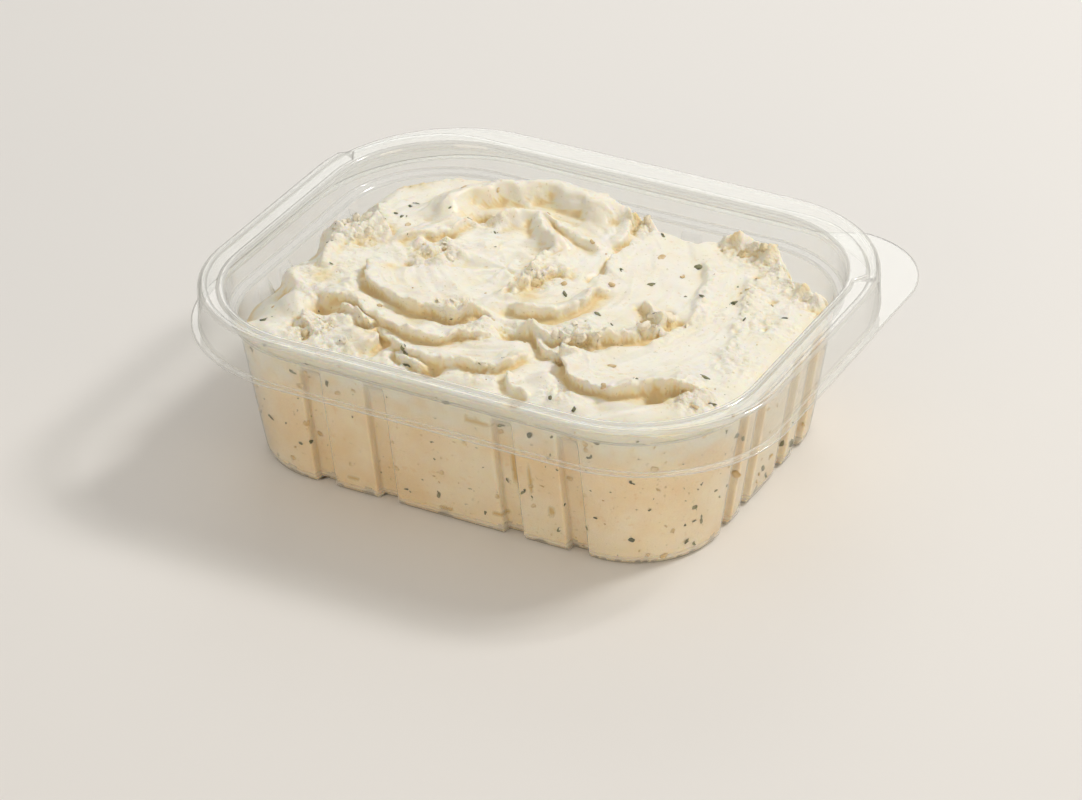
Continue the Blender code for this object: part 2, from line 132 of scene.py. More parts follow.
# Lips of the spread swirls: points in plan, then height, gentle width, steep
# width, trough depth, overhang and raggedness. The steep side is on the right.
LIPS = {
    "back_crest": (
        [(-46, 16), (-44, 24), (-42, 31), (-36, 39), (-28, 44), (-18, 47), (-9, 46), (0, 43), (6, 37)],
        5.0, 9.0, 7.5, 0.7, 0.9, 0.3),
    "back_lobe": ([(9, 26), (11, 33), (8, 41), (2, 47), (-6, 50)], 2.0, 8.0, 1.5, 0.6, 0.8, 0.4),
    "stroke_edge": ([(-48, 0), (-44, 6), (-40, 11), (-36, 17), (-33, 24)], 2.0, 8.0, 1.8, 0.8, 0.8, 0.6),
    "inner_crest": (
        [(-31, 22), (-26, 28), (-18, 34), (-12, 28), (-6, 22), (0, 18)], 3.6, 5.0, 6.0, 0.7, 0.6, 0.35),
    "inner_fold": ([(-17, 35), (-6, 31), (1, 26), (8, 26)], 1.8, 4.0, 2.2, 0.6, 0.6, 0.5),
    "bowl_rim": ([(-5, 24), (-3, 15), (-3, 5), (-4, -5), (-6, -14)], 1.5, 6.0, 3.6, 0.4, 0.4, 1.3),
    "bowl_lip": (
        [(-46, -5), (-45, -14), (-40, -21), (-33, -26), (-26, -28), (-18, -28), (-11, -27), (-5, -22),
         (1, -23)], 3.6, 10.0, 1.8, 1.4, 1.9, 0.85),
    "second_lip": (
        [(-57, -31), (-50, -32), (-43, -32), (-35, -34), (-23, -40), (-12, -39), (-4, -33), (4, -30)],
        2.7, 8.0, 1.6, 1.2, 1.6, 0.95),
    "front_lip": (
        [(-41, -38), (-35, -40), (-28, -42), (-17, -48), (-5, -50), (7, -48), (15, -41), (17, -33)],
        2.1, 6.0, 1.4, 1.0, 1.3, 1.0),
    "torn_ridge": (
        [(4, -26), (10, -25), (16, -27), (23, -25), (31, -21), (38, -14), (42, -6), (43, 3)],
        3.2, 5.0, 1.7, 1.4, 1.2, 1.5),
    "torn_curl": ([(32, 4), (36, 0), (41, -5), (46, -10)], 2.0, 2.6, 1.4, 1.2, 0.8, 0.7),
    "rolled_edge": ([(8, -24), (14, -28), (19, -32), (25, -34), (28, -31)], 2.2, 2.6, 1.3, 1.2, 0.9, 0.6),
    "curl": ([(-3, -13), (3, -16), (9, -16), (14, -11), (17, -3), (20, 6)], 2.5, 5.0, 1.6, 1.4, 1.6, 0.6),
    "curl_top": ([(-8, -13), (-3, -4), (2, 4), (6, 12)], 1.6, 3.2, 1.6, 0.9, 0.6, 1.3),
    "front_flap": (
        [(24, -27), (29, -35), (33, -41), (41, -43), (49, -42), (56, -37), (62, -33), (70, -31)],
        3.7, 12.0, 1.7, 1.2, 2.2, 0.9),
    "right_stroke": (
        [(37, 36), (43, 26), (46, 14), (48, 1), (47, -10), (45, -22)], 1.0, 10.0, 3.4, 0.2, 0.3, 0.8),
    "right_arc": ([(52, 32), (57, 20), (61, 8), (64, -4), (66, -18)], 0.8, 8.0, 3.0, 0.2, 0.3, 1.2),
    "crease": ([(14, 36), (14, 26), (15, 18), (16, 11), (13, 4)], 1.2, 6.0, 1.2, 1.3, 0.6, 0.5),
    "left_lump": ([(-66, 22), (-58, 14), (-57, 2), (-62, -8), (-58, -20)], 2.2, 5.0, 4.0, 0.4, 0.5, 0.9),
    "left_crumble": ([(-50, 0), (-57, 8), (-65, 6), (-71, -3)], 2.6, 8.0, 2.0, 0.8, 0.8, 1.5),
    "left_ribs": ([(-73, -8), (-71, -17), (-66, -26), (-58, -34)], 2.6, 6.0, 3.0, 0.8, 0.8, 0.6),
    "left_flap": ([(-25, -55), (-26, -48), (-31, -41)], 2.2, 4.0, 1.6, 1.2, 0.9, 0.8),
    "left_tongue": ([(-44, -33), (-40, -37), (-33, -39), (-26, -45)], 1.8, 3.0, 1.4, 1.0, 0.8, 0.7),
    "front_left_roll": ([(-52, -42), (-46, -49), (-40, -53)], 2.0, 5.0, 1.5, 1.0, 0.8, 1.2),
    "front_curl": ([(17, -46), (21, -52), (27, -56)], 1.6, 3.0, 1.3, 1.0, 0.8, 0.7),
    "front_pocket": ([(-16, -50), (-10, -54), (-3, -55)], 1.8, 3.4, 1.3, 1.2, 0.8, 0.9),
}

# Edge of the spread cheese above the hollow along the back wall, points in plan
HOLLOW_EDGE = [
    (-84, 30), (-73, 29), (-66, 32), (-60, 37), (-53, 43), (-43, 47), (-30, 51), (-16, 53), (-7, 51),
    (2, 46), (12, 44), (22, 42), (31, 42), (38, 47), (45, 49), (52, 47), (56, 42), (60, 35), (67, 31),
    (76, 28), (84, 26)]

# Pits and knobs: place, radius and height, down where it is negative
DIMPLES = (
    (-14, 2, 14.0, -1.4), (-31.5, 27, 2.8, -5.0), (24, -58.5, 2.2, -2.8), (-36, 13, 2.6, -1.6),
    (-48, -37.5, 3.4, -6.0), (-64, -33, 2.6, -2.2), (-67.5, 12.5, 2.8, -5.6), (-3.5, -54, 2.5, -4.0),
    (-24, -53, 3.4, -1.6), (46, -50, 3.4, -1.6), (36, -5, 2.6, -1.4), (-40, 5, 2.2, 2.2),
    (-36, 2, 2.0, 2.0), (-30, -2, 2.4, 2.4), (-26, 4, 2.0, 1.4), (-34, 9, 1.8, 1.4), (-38, -7, 1.8, -1.8),
    (-34, -1, 1.5, -2.0), (-39, 8, 1.5, -1.4), (-68, 45, 5.5, 5.0), (-58, 52, 5.0, 5.5), (-66, 0, 4.0, 2.4),
    (-37, -41, 3.2, 2.2), (-31, -48, 3.6, 1.8), (27, -45, 3.0, 1.0), (9, 43, 2.6, 3.4), (14, 44, 2.2, 2.8),
    (38, 45, 2.2, 1.8), (42, 45.5, 3.0, 4.2), (47, 44, 2.2, 2.4), (53, 42.5, 3.4, 4.0), (59, 38, 2.4, 3.0),
    (64, 33, 2.0, 2.2), (70, 29, 3.0, 3.4), (75, 27, 2.4, 2.6), (41, 1, 1.4, -1.8), (46, -2, 1.3, -1.6),
    (54, 31, 1.4, -1.0), (58, 25, 1.4, -1.1), (69, 6, 1.3, -1.0), (64, 21, 1.2, -0.9),
    (-11, -22, 2.4, -2.0), (-8, -25, 2.6, 1.8), (6, -28, 3.4, -2.4), (-2, -27, 2.8, 1.8),
    (58, -40, 2.2, -2.6), (66, -37, 2.6, 1.8), (70, -34, 2.0, 1.2), (-46, -24, 2.6, 1.6))

# Torn patches: place, radius and how rough
TORN = (
    (-34, 1, 9, 1.0), (-30, 25, 6, 0.9), (-61, 2, 11, 0.9), (-67, 14, 9, 0.6), (-64, -22, 9, 0.6),
    (-55, -31, 6, 0.7), (-45, -49, 8, 1.1), (-13, -24, 7, 1.0), (-2, -31, 7, 0.8), (5, -26, 5, 0.8),
    (-10, -55, 6, 0.6), (24, -22, 9, 1.0), (41, -6, 7, 0.9), (-2, 2, 6, 1.0), (3, 6, 5, 0.8),
    (12, 43, 6, 1.2), (40, 45, 6, 0.75), (48, 43, 8, 0.8), (57, 39, 8, 0.85), (65, 32, 8, 0.8),
    (74, 27, 8, 0.8), (67, -36, 7, 0.9), (-58, 50, 10, 0.9), (-66, 42, 10, 0.9), (34, -50, 6, 0.6),
    (60, 20, 8, 0.5), (69, 8, 9, 0.6), (26, -32, 5, 0.8), (-40, -38, 6, 0.7), (9, -50, 6, 0.6),
    (-34, -56, 8, 0.6), (70, -14, 9, 0.5), (52, 6, 6, 0.35), (63, -30, 7, 0.45), (-22, -52, 6, 0.5),
    (-52, -18, 6, 0.5))

# Patches of painted golden shade, mostly in pits and under lips: place, radius and share
PAINTED_SHADE_PATCHES = (
    (-60, 37, 4.5, 0.6), (-48, -37.5, 3.4, 0.9), (-67.5, 12.5, 3.2, 0.9), (-31.5, 27, 3.0, 0.7),
    (2, -8, 3.4, 0.5), (40.5, 44.7, 2.2, 0.5), (52.5, 42.8, 2.8, 0.5), (70.6, 29.4, 2.6, 0.5),
    (-3.5, -54, 2.8, 0.7), (24, -58, 2.4, 0.7), (-41, -11, 2.6, 0.5), (60, -40, 3.2, 0.6),
    (-28, -45, 2.6, 0.5), (-22, -31, 2.4, 0.4), (34, -1, 2.4, 0.5), (-36, -2, 2.2, 0.5),
    (-56, -24, 3.0, 0.4), (11, 42, 2.4, 0.5))

# Marks of the spreading knife, round the middle of the swirl: width and depth
STROKE_X = -12.0
STROKE_Y = 4.0
STROKES = ((7.0, 0.6), (2.8, 0.26), (1.5, 0.13))
STROKE_TURNS = 2.6

# Lips: the thin burr along the crest, nibbles, hanging folds and fine strokes behind the crest
BURR = 0.34
BURR_WIDTH = 0.9
NIBBLE = 0.6
DRAPE = 2.7
DRAPE_DEPTH = 1.5
DRAPE_BEND = 2.6
LIP_ENDS = (0.16, 0.86)
LIP_STROKE = (1.1, 16.0, 0.34)
FRAY = 0.8

# Unevenness as height, size and draw, where a lip adds its own number to the draw
LIP_WAVE = ((0.9, 5.5, 0), (0.3, 2.4, 1))
LIP_NIBBLES = ((1.0, 2.6, 3), (0.7, 1.3, 2))
LIP_CREST = ((0.4, 8.0, 5), (0.22, 3.6, 9))
TOP_WAVE = ((0.45, 9.0, 31),)
TORN_LUMPS = ((1.5, 4.4, 41), (0.9, 2.2, 42))
TORN_GRAIN = ((0.45, 1.15, 43),)
TORN_HEIGHT = 1.25
TORN_SINK = 0.7
TORN_POWER = 1.5
EDGE_TEARS = ((1.4, 5.0, 51), (0.3, 2.4, 52))
FLOOR_WAVE = ((0.8, 6.0, 61), (0.5, 2.4, 62))
CLIFF_CLODS = ((1.5, 3.8, 63), (0.8, 1.9, 64))
SIDE_GRAIN = ((1.0, 2.6, 71), (0.5, 1.2, 72))

# Across the drop into the hollow: where it begins and ends
CLIFF = (-0.5, 4.6)

# How far the lips wander from their lines: size, distance and draw
BENDS = ((9.0, 1.7, 91), (4.0, 0.9, 95))

# Herb flakes that lie close together, in plan
HERB_PLACES = [
    (-54, 24), (-26, 20), (-3, 36), (6, 34), (-19, -26), (50, -35), (27, -48), (32, -53), (37, -53),
    (7, -37), (30, 13), (43, 11), (58, 1), (-54, 16), (-45, 4), (49, 13), (55, 14), (54, 21), (58, -23),
    (35, -48), (69, -41), (76, -30), (36, 30), (22, 37), (-3, -41), (-15, -52), (-61, -48), (-64, -9)]
HERB_CLUSTER = 34.0
HERB_NEAR = 1.6

# Voids between the cheese and the front wall, set back a little and given painted golden shade: place along
# the wall, height, half lengths
VOIDS = ((21.5, 24.0, 1.3, 9.0), (27.5, 22.0, 0.8, 6.5), (15.5, 7.0, 3.2, 0.8), (-2.0, 3.0, 6.0, 1.0),
         (33.0, 13.0, 1.0, 2.2), (-31.0, 5.0, 2.2, 1.2), (12.0, 38.5, 5.0, 1.2), (-48.0, 30.0, 1.0, 3.0))
VOID_DEPTH = 0.3
LOW_EDGE_DEPTH = 1.5

# The pressed cheese, whose warm tint is partly painted bounce light, turns paler between these heights
PALE_BAND = (33.0, 44.0)

# How many herb flakes and garlic bits show through the wall, against the top
SIDE_HERB = 2.3
SIDE_GARLIC = 2.7

# Painted golden shade from depth: size of the surroundings and a scale for each, then least, full and most
DEPTH_SIZES = ((1.1, 0.8), (2.8, 1.5))
DEPTH_LEAST = 0.3
DEPTH_FULL = 1.6
DEPTH_MOST = 0.62

# Lamps: place in metres, size, power and colour
LAMPS = {"key": ((0.74, 0.76, 1.15), 0.26, 11.9, (1.0, 0.98, 0.95)),
         "window": ((-0.57, 1.05, 0.70), 0.55, 2.0, (1.0, 0.99, 0.97)),
         "fill": ((-0.9, -0.5, 0.9), 0.9, 0.7, (1.0, 0.98, 0.95)),
         "front": ((0.0, -1.2, 0.3), 0.7, 3.2, (1.0, 0.80, 0.57)),
         "side": ((1.2, -0.25, 0.2), 0.5, 2.5, (1.0, 0.80, 0.57))}
LAMP_AIM = Vector((0.0, 0.0, 0.03))
SURROUND = 0.56
FLOOR_HALF = 4.0

# Light paths, so that the eight faces of the clear sheet don't turn dark
BOUNCES = 16
THROUGH_BOUNCES = 12
CLEAR_BOUNCES = 40


def smooth(low, high, value):
    """Smooth step from 0 at low to 1 at high."""
    t = np.clip((value - low) / (high - low), 0.0, 1.0)
    return t * t * (3.0 - 2.0 * t)


def gradient_noise(points, seed):
    """Smooth noise between about -1 and 1 at rows of three coordinates."""
    draw = np.random.default_rng(seed)
    table = draw.permutation(256)
    slopes = draw.normal(size=(256, 3))
    slopes /= np.linalg.norm(slopes, axis=1)[:, None]
    cell = np.floor(points).astype(int)
    part = points - cell
    ease = part ** 3 * (part * (part * 6 - 15) + 10)
    total = np.zeros(len(points))
    for corner in product((0, 1), repeat=3):
        at = (cell + corner) & 255
        index = table[(table[(table[at[:, 0]] + at[:, 1]) & 255] + at[:, 2]) & 255]
        weight = np.prod(np.where(corner, ease, 1 - ease), axis=1)
        total += weight * np.sum(slopes[index] * (part - corner), axis=1)
    return total * 1.7


def wobble(xy, size, seed):
    """Soft unevenness between about -1 and 1, of the given size in millimetres."""
    level = np.full(len(xy), 0.37)
    return gradient_noise(np.column_stack([xy / size, level]), seed)


def layered(xy, layers, seed=0, start=0.0):
    """Soft unevenness summed over layers, each with its height, size and draw."""
    total = start
    for height, size, draw in layers:
        total = total + height * wobble(xy, size, seed + draw)
    return total


def clods(place, layers):
    """Unevenness in all three directions, summed over layers."""
    return sum(height * gradient_noise(place / size, draw) for height, size, draw in layers)


def hump(xy, px, py, radius, power=1.0):
    """A smooth hump of height 1 round a place in plan, flatter on top with a higher power."""
    apart = (xy[:, 0] - px) ** 2 + (xy[:, 1] - py) ** 2
    return np.exp(-(apart / radius ** 2) ** power)


def curve_through(points, pieces=8):
    """Catmull-Rom curve through points in plan."""
    pts = np.array([points[0]] + list(points) + [points[-1]], float)
    out = []
    for a, b, c, d in zip(pts, pts[1:], pts[2:], pts[3:]):
        for k in range(pieces):
            t = k / pieces
            out.append(0.5 * (2 * b + (c - a) * t + (2 * a - 5 * b + 4 * c - d) * t * t
                              + (3 * b - a - 3 * c + d) * t ** 3))
    out.append(pts[-1])
    return np.array(out)


def beside(path, xy):
    """Signed distance to a path, positive on its right, the share of its length, and the right normal."""
    a, run = path[:-1], path[1:] - path[:-1]
    length = np.linalg.norm(run, axis=1)
    start = np.concatenate([[0.0], np.cumsum(length)[:-1]])
    best = np.full(len(xy), 1e9)
    signed, share = np.zeros(len(xy)), np.zeros(len(xy))
    normal = np.zeros((len(xy), 2))
    for k in range(len(a)):
        off = xy - a[k]
        t = np.clip(off @ run[k] / length[k] ** 2, 0.0, 1.0)
        apart = off - t[:, None] * run[k]
        distance = np.hypot(apart[:, 0], apart[:, 1])
        closer = distance < best
        side = np.where(off[:, 0] * run[k][1] - off[:, 1] * run[k][0] >= 0, 1.0, -1.0)
        best = np.where(closer, distance, best)
        signed = np.where(closer, side * distance, signed)
        share = np.where(closer, (start[k] + t * length[k]) / length.sum(), share)
        right = np.array((run[k][1], -run[k][0])) / length[k]
        normal = np.where(closer[:, None], right, normal)
    return signed, share, normal


def lip(xy, points, height, gentle, steep, trough, overhang, ragged, seed):
    """Rise, lean and fraying of one lip: a gentle rise, a drop that leans over and a trough at its foot."""
    path = curve_through(points)
    signed, share, normal = beside(path, xy)
    along = share * np.linalg.norm(np.diff(path, axis=0), axis=1).sum()
    ends = smooth(0.0, LIP_ENDS[0], share) * smooth(1.0, LIP_ENDS[1], share)
    calm = min(ragged, 1.0)
    nibbled = layered(xy, LIP_NIBBLES, seed)
    hanging = np.abs(np.sin(along * math.pi / DRAPE + DRAPE_BEND * wobble(xy, 6.0, seed + 4))) - 0.6
    hanging = hanging * smooth(-0.1, 0.5, wobble(xy, 9.0, seed + 6))
    uneven = ragged * layered(xy, LIP_WAVE, seed)
    uneven = uneven + DRAPE_DEPTH * max(ragged - 1.0, 0.0) * (hanging + 0.5 * nibbled)
    across = signed + uneven * np.exp(-(signed / 6.0) ** 2)

    crest = height * (1.0 + calm * layered(xy, LIP_CREST, seed))
    back = (1.0 - BURR) * (1.0 - smooth(0.0, gentle, -across)) + BURR * np.exp(across / BURR_WIDTH)
    rise = np.where(across < 0, back, 1.0 - smooth(0.0, steep, across))
    edge = np.exp(-((across + 0.3) / 1.1) ** 2)
    foot = np.exp(-((across - steep * 1.5) / (steep * 1.4)) ** 2) * (across > 0)
    width, length, depth = LIP_STROKE
    place = np.column_stack([signed / width, along / length, np.full(len(xy), seed * 1.7)])
    stroke = smooth(-gentle * 1.5, -gentle * 0.2, across) * smooth(0.2, -0.8, across)
    up = ends * (crest * rise - trough * foot + depth * gradient_noise(place, seed) * stroke)
    up = up + ends * edge * ragged * NIBBLE * nibbled

    leant = 1.0 + 0.8 * calm * wobble(xy, 4.0, seed + 7) + 0.35 * ragged * nibbled
    lean = ends * overhang * rise ** 1.6 * smooth(-2.6, 0.0, across) * np.clip(leant, 0.0, 2.0)
    frayed = ends * edge * ragged * smooth(-0.4, 0.5, wobble(xy, 3.4, seed + 8))
    return up, lean[:, None] * normal, frayed


def inset_from_wall(xy):
    """How far a place in plan is inside the tub's upper wall."""
    over = np.maximum(np.abs(xy) - (CORE_X, CORE_Y), 0.0)
    return SEAT_RADIUS - SHEET - np.hypot(over[:, 0], over[:, 1])


def cream_level(xy):
    """Heights of the cheese's top before it is spread: a low mound that sinks towards the wall."""
    x, y = xy[:, 0], xy[:, 1]
    inset = inset_from_wall(xy)
    rise, (middle_x, middle_y), (half_x, half_y) = MOUND
    level = CREAM_LEVEL + rise * np.exp(-((x - middle_x) / half_x) ** 2 - ((y - middle_y) / half_y) ** 2)
    left = smooth(-42, -70, x) * smooth(-56, -38, y)
    front = smooth(-38, -54, y)
    right = smooth(58, 70, x)
    for share, (depth, slope) in ((left, LEFT_SINK), (front, FRONT_SINK), (right, RIGHT_SINK)):
        level = level - depth * share * (1.0 - smooth(0.0, slope, inset))
    return level


def cream_surface(xy):
    """Heights of the cheese's top at places in plan, the sideways lean there, and how torn it is."""
    x, y = xy[:, 0], xy[:, 1]
    level = cream_level(xy)
    lean = np.zeros((len(xy), 2))
    frayed = np.zeros(len(xy))
    bent = xy.copy()
    for size, far, draw in BENDS:
        bent = bent + far * np.column_stack([wobble(xy, size, draw), wobble(xy, size, draw + 1)])
    for index, values in enumerate(LIPS.values()):
        up, sideways, fray = lip(bent, *values, 100 + 10 * index)
        level = level + up
        lean = lean + sideways
        frayed = np.maximum(frayed, fray)
    for px, py, radius, rise in DIMPLES:
        level = level + rise * hump(xy, px, py, radius)

    torn = 0.03 + 0.12 * smooth(0.1, 0.9, wobble(xy, 14.0, 21))
    torn = np.maximum(torn, FRAY * frayed)
    for px, py, radius, rough in TORN:
        torn = np.maximum(torn, rough * hump(xy, px, py, radius, TORN_POWER))
    reach = np.hypot(x - STROKE_X, y - STROKE_Y)
    turn = np.arctan2(y - STROKE_Y, x - STROKE_X)
    for size, deep in STROKES:
        place = np.column_stack([reach / size, STROKE_TURNS * np.cos(turn), STROKE_TURNS * np.sin(turn)])
        level = level + deep * gradient_noise(place, 33) * (1.0 - np.minimum(torn, 1.0))
    level = layered(xy, TOP_WAVE, start=level)
    lumps = sum(height * np.abs(wobble(xy, size, draw)) for height, size, draw in TORN_LUMPS)
    level = level + torn * (TORN_HEIGHT * layered(xy, TORN_GRAIN, start=lumps) - TORN_SINK)

    edge, _, away = beside(curve_through(HOLLOW_EDGE), xy)
    beyond = smooth(*CLIFF, layered(xy, EDGE_TEARS) - edge) * (y > CORE_Y / 2)
    level = level + (layered(xy, FLOOR_WAVE, start=HOLLOW_FLOOR) - level) * beyond
    lean = lean * (1.0 - beyond)[:, None]
    rough = clods(np.column_stack([xy, level]), CLIFF_CLODS)
    lean = lean + (rough * smooth(0.02, 0.25, beyond) * smooth(1.0, 0.8, beyond))[:, None] * away
    over = np.maximum(level - CREAM_TOP + SOFT_TOP, 0.0)
    level = level - over + SOFT_TOP * (1.0 - np.exp(-over / SOFT_TOP))
    return level, lean, torn


def outline_radius(angle):
    """Radius of the rim's outer edge in the direction of the wall's normal."""
    ends = OUTLINE_BACK if math.sin(angle) > 0 else OUTLINE_FRONT
    return OUTLINE_SIDE * math.cos(angle) ** 2 + ends * math.sin(angle) ** 2


def rise_angle(angle):
    """How far a direction is turned towards the back, in degrees."""
    return math.degrees(math.asin(max(0.0, math.sin(angle))))


def bead_radius(angle):
    """Outer radius of the raised bead along the back and round the back corners."""
    along_back = float(smooth(60.0, 90.0, rise_angle(angle)))
    return min(BEAD_CORNER + (BEAD_BACK - BEAD_CORNER) * along_back, outline_radius(angle) - BAR_MARGIN)


def tab_radius(angle):
    """Distance along a direction from the back right corner's centre to the tab's rounded square."""
    reach_x, reach_y = TAB_X - CORE_X, TAB_Y - CORE_Y
    c, s = math.cos(angle), math.sin(angle)
    straight = min(reach_x / max(c, 1e-6), reach_y / max(s, 1e-6))
    mx, my = reach_x - TAB_CORNER, reach_y - TAB_CORNER
    if straight * c > mx and straight * s > my:
        along = mx * c + my * s
        return along + math.sqrt(max(0.0, along * along - mx * mx - my * my + TAB_CORNER ** 2))
    return straight


def flange_radius(angle):
    """Outer radius of the flange at the skirt's foot, with the tab at the back right corner."""
    plain = outline_radius(angle) + SKIRT_FLARE + FLANGE_WIDTH
    if not 0.0 < angle < math.radians(TAB_FADE[1]):
        return plain
    fade = 1.0 - float(smooth(*TAB_FADE, math.degrees(angle)))
    return max(plain, plain + (tab_radius(angle) - plain) * fade)


def flute_press(along, flutes, depth):
    """How deep the wall is pressed in at a place along a straight side."""
    away = min(abs(along - middle) for middle in flutes)
    return depth * float(smooth(FLUTE_HALF + FLUTE_SLOPE / 2, FLUTE_HALF - FLUTE_SLOPE / 2, away))


def side_places(half, flutes):
    """Places along a straight side, closer together on the slopes of the flutes."""
    places = set(np.round(np.linspace(-half, half, int(2 * half / STATION_STEP))[1:-1], 3))
    for middle in flutes:
        for side in (-1, 1):
            for k in range(-3, 4):
                place = middle + side * (FLUTE_HALF + k * FLUTE_SLOPE / 6)
                places = {p for p in places if abs(p - place) > 0.12}
                places.add(round(place, 3))
    return sorted(p for p in places if abs(p) < half - 0.1)


def stations():
    """Stations round the tub: a point of the core, the normal's angle, and the flute's depth there."""
    rows = []
    sides = ((0, 1, 1, SHORT_FLUTES, SHORT_FLUTE_DEPTH), (90, -1, 1, LONG_FLUTES, LONG_FLUTE_DEPTH),
             (180, -1, -1, SHORT_FLUTES, SHORT_FLUTE_DEPTH), (270, 1, -1, LONG_FLUTES, LONG_FLUTE_DEPTH))
    corners = ((1, 1), (-1, 1), (-1, -1), (1, -1))
    for (degrees, sign_x, sign_y, flutes, depth), (corner_x, corner_y) in zip(sides, corners):
        angle = math.radians(degrees)
        upright = degrees % 180 == 0
        for along in side_places(CORE_Y if upright else CORE_X, flutes):
            press = flute_press(along, flutes, depth)
            if upright:
                rows.append((sign_x * CORE_X, along * sign_x, angle, press))
            else:
                rows.append((-along * sign_y, sign_y * CORE_Y, angle, press))
        for step in range(CORNER_STEPS + 1):
            turn = math.radians(90.0 * step / CORNER_STEPS)
            rows.append((corner_x * CORE_X, corner_y * CORE_Y, angle + turn, 0.0))
    return rows


def flute_share(z):
    """How much of the flute's depth is left at a height."""
    heights, shares = zip(*FLUTE_LEVELS)
    return np.interp(z, heights, shares)


def wall_radius(z):
    """Radius of the wall's outer face at a height."""
    heights = (BASE_EDGE, SEAT_Z, SEAT_Z + SEAT_RISE, RIM_Z)
    radii = (BASE_RADIUS, WALL_TOP_RADIUS, SEAT_RADIUS, THROAT_RADIUS)
    return np.interp(z, heights, radii)


def rounded(corners, steps=4):
    """A line through corners given as (radius, height, rounding), and how folded it is at each point."""
    line = [(*corners[0][:2], 0.0)]
    for (ax, ay, _), (bx, by, size), (cx, cy, _) in zip(corners, corners[1:], corners[2:]):
        before = math.hypot(bx - ax, by - ay)
        after = math.hypot(cx - bx, cy - by)
        cut = min(size, before * 0.48, after * 0.48)
        if cut < 1e-3:
            line.append((bx, by, 0.0))
            continue
        sx, sy = bx + (ax - bx) * cut / before, by + (ay - by) * cut / before
        ex, ey = bx + (cx - bx) * cut / after, by + (cy - by) * cut / after
        for k in range(steps + 1):
            t = k / steps
            line.append(((1 - t) ** 2 * sx + 2 * t * (1 - t) * bx + t * t * ex,
                         (1 - t) ** 2 * sy + 2 * t * (1 - t) * by + t * t * ey, 4 * t * (1 - t)))
    line.append((*corners[-1][:2], 1.0))
    return line


def tub_line(angle):
    """Outer face of the sheet at a direction, from the floor's middle out to the flange's edge."""
    outline, flange, bead = outline_radius(angle), flange_radius(angle), bead_radius(angle)
    bar = 1.0 - float(smooth(*BAR_END, rise_angle(angle)))
    shelf_z = RIM_Z - SHELF_DROP * (1.0 - bar)
    channel_z = RIM_Z - CHANNEL_DROP * bar - (RIM_Z - shelf_z)
    inner_end = THROAT_RADIUS + BEAD_WIDTH
    inner_end += (bead - inner_end) * (1.0 - bar)
    outer_start = max(outline - BEAD_WIDTH, inner_end + 0.8)
    foot = SKIRT_FOOT_Z + SHEET / 2
    corners = [(BASE_RADIUS - 9.0, 0.0, 0.0), (BASE_RADIUS - BASE_EDGE * 0.5, 0.0, 1.4),
               (BASE_RADIUS, BASE_EDGE * 1.4, 1.2)]
    corners += [(float(wall_radius(z)), z, 0.0) for z in WALL_RINGS]
    corners += [(WALL_TOP_RADIUS, SEAT_Z, 0.8), (SEAT_RADIUS, SEAT_Z + SEAT_RISE, 0.7),
                (THROAT_RADIUS, RIM_Z - 1.6, 0.6), (THROAT_RADIUS + 0.5, RIM_Z, 0.6),
                (inner_end - 0.3, RIM_Z, 0.35), (inner_end + 0.2, channel_z, 0.35),
                (outer_start - 0.2, channel_z, 0.35), (outer_start + 0.3, shelf_z, 0.35),
                (outline, shelf_z, 1.1), (outline + SKIRT_FLARE, foot, 0.7),
                (outline + SKIRT_FLARE + 1.2, foot, 0.0), (flange - FLANGE_EDGE, foot, 0.0),
                (flange, foot, 0.0)]
    return rounded(corners)


def tub_mesh():
    """The clear tub as one thin closed sheet, and how folded it is at each point."""
    grid_outer, grid_inner, folds = [], [], []
    for x, y, angle, depth in stations():
        line, fold = np.split(np.array(tub_line(angle)), [2], axis=1)
        on_wall = (line[:, 0] < SEAT_RADIUS) * smooth(BASE_RADIUS - 8.0, BASE_RADIUS - 2.0, line[:, 0])
        pressed = flute_share(line[:, 1]) * on_wall * depth
        share = np.minimum(pressed / LONG_FLUTE_DEPTH, 1.0)
        folds.append(np.maximum(fold[:, 0], FLUTE_FOLD * 4 * share * (1.0 - share)))
        run = np.gradient(line, axis=0)
        run /= np.linalg.norm(run, axis=1)[:, None]
        inward = np.column_stack([-run[:, 1], run[:, 0]])
        inner = line + inward * SHEET
        for target, rows in ((grid_outer, line), (grid_inner, inner)):
            r = rows[:, 0] - pressed
            target.append(np.column_stack([x + r * math.cos(angle), y + r * math.sin(angle), rows[:, 1]]))
    outer, inner = np.array(grid_outer), np.array(grid_inner)
    folds = np.ravel(folds)
    return *closed_sheet(outer, inner), np.concatenate([folds, folds, (0.0, 0.0)])


def closed_sheet(outer, inner):
    """Vertices and faces of a sheet with two faces, joined at its edge and closed at the middle."""
    count, rings = outer.shape[:2]
    verts = np.concatenate([outer.reshape(-1, 3), inner.reshape(-1, 3),
                            [(0, 0, outer[0, 0, 2]), (0, 0, inner[0, 0, 2])]])
    faces = []
    shift = count * rings
    for i in range(count):
        k = (i + 1) % count
        for j in range(rings - 1):
            a, b, c, d = i * rings + j, i * rings + j + 1, k * rings + j + 1, k * rings + j
            faces.append((a, d, c, b))
            faces.append((a + shift, b + shift, c + shift, d + shift))
        a, b = i * rings + rings - 1, k * rings + rings - 1
        faces.append((a, b, b + shift, a + shift))
        faces.append((i * rings, 2 * shift, k * rings))
        faces.append((i * rings + shift, k * rings + shift, 2 * shift + 1))
    return verts, faces


